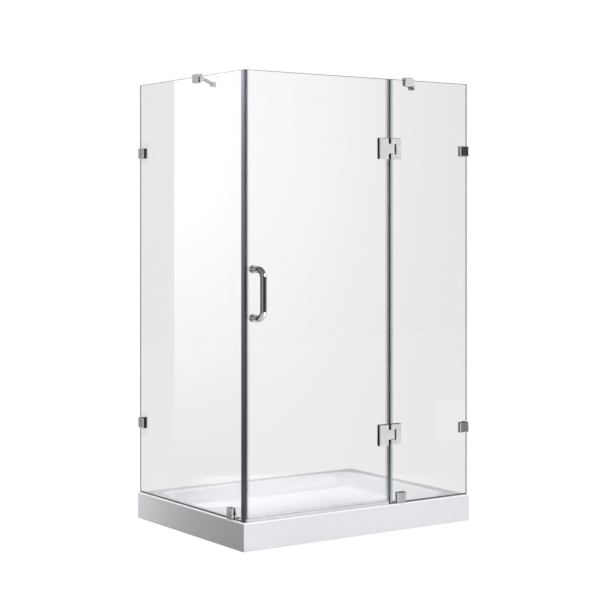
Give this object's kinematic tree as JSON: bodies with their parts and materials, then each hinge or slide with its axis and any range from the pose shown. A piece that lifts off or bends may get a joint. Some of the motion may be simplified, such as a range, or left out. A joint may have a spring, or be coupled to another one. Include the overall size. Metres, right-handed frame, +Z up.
{
  "type": "hinged shower door enclosure",
  "caption": "Frameless corner shower enclosure on a low tray: clear glass return panel, inline panel and outward-opening hinged door with a C-shaped pull handle.",
  "frame": {"origin": "middle of the tray's flat underside", "axes": "+Z up, +X along the front from the free glass corner to the right wall, +Y from the front into the shower, towards the back wall; the door faces -Y"},
  "size_m": [1.219, 0.9833, 2.029],
  "materials": {
    "clear_glass": "clear tempered float glass, 10 mm, polished edges",
    "polished_chrome": "mirror polished plate",
    "white_acrylic": "smooth gloss sanitary acrylic",
    "clear_seal": "clear flexible extrusion, slightly blue-grey",
    "magnet_strip": "matt dark magnetic rubber",
    "dark_sealant": "satin dark grey silicone bead",
    "black_rubber": "matt",
    "nylon": "satin moulded nylon",
    "steel": "turned stainless"
  },
  "bodies": {
    "root": {"base_foot_screws": "steel", "brace_grub_screws": "steel", "brace_pads": "black_rubber", "clamp_gaskets": "black_rubber", "clamp_screws": "steel", "drain_body": "polished_chrome", "drain_gasket": "black_rubber", "drain_grate": "polished_chrome", "drain_grate_screw": "steel", "drain_locknut": "nylon", "hinge_fixed_gaskets": "black_rubber", "hinge_fixed_screws": "steel", "inline_base_clamp_bracket": "polished_chrome", "inline_base_clamp_plate": "polished_chrome", "inline_brace_bar": "polished_chrome", "inline_brace_saddle": "polished_chrome", "inline_brace_wall_bracket": "polished_chrome", "inline_edge_seal": "clear_seal", "inline_lower_wall_clamp_bracket": "polished_chrome", "inline_lower_wall_clamp_plate": "polished_chrome", "inline_panel": "clear_glass", "inline_panel_sealant": "dark_sealant", "inline_upper_wall_clamp_bracket": "polished_chrome", "inline_upper_wall_clamp_plate": "polished_chrome", "lower_hinge_fixed_inner": "polished_chrome", "lower_hinge_fixed_outer": "polished_chrome", "lower_hinge_pin": "steel", "return_base_clamp_bracket": "polished_chrome", "return_base_clamp_plate": "polished_chrome", "return_brace_bar": "polished_chrome", "return_brace_saddle": "polished_chrome", "return_brace_wall_bracket": "polished_chrome", "return_lower_wall_clamp_bracket": "polished_chrome", "return_lower_wall_clamp_plate": "polished_chrome", "return_magnet_strip": "magnet_strip", "return_panel": "clear_glass", "return_panel_sealant": "dark_sealant", "return_strike_seal": "clear_seal", "return_upper_wall_clamp_bracket": "polished_chrome", "return_upper_wall_clamp_plate": "polished_chrome", "shower_tray": "white_acrylic", "upper_hinge_fixed_inner": "polished_chrome", "upper_hinge_fixed_outer": "polished_chrome", "upper_hinge_pin": "steel"},
    "door": {"door_glass": "clear_glass", "door_magnet_strip": "magnet_strip", "door_strike_seal": "clear_seal", "door_sweep": "clear_seal", "handle_inner_caps": "polished_chrome", "handle_studs": "steel", "handle_washers": "nylon", "hinge_bushes": "nylon", "hinge_door_gaskets": "black_rubber", "hinge_door_screws": "steel", "hinge_side_seal": "clear_seal", "lower_hinge_door_inner": "polished_chrome", "lower_hinge_door_outer": "polished_chrome", "pull_handle": "polished_chrome", "upper_hinge_door_inner": "polished_chrome", "upper_hinge_door_outer": "polished_chrome"}
  },
  "joints": [
    {"name": "door_swing", "type": "hinge", "parent": "root", "child": "door", "pos_m": [0.168, -0.44, 1.0555], "axis": [0, 0, 1], "range_deg": [0, 90]}
  ]
}
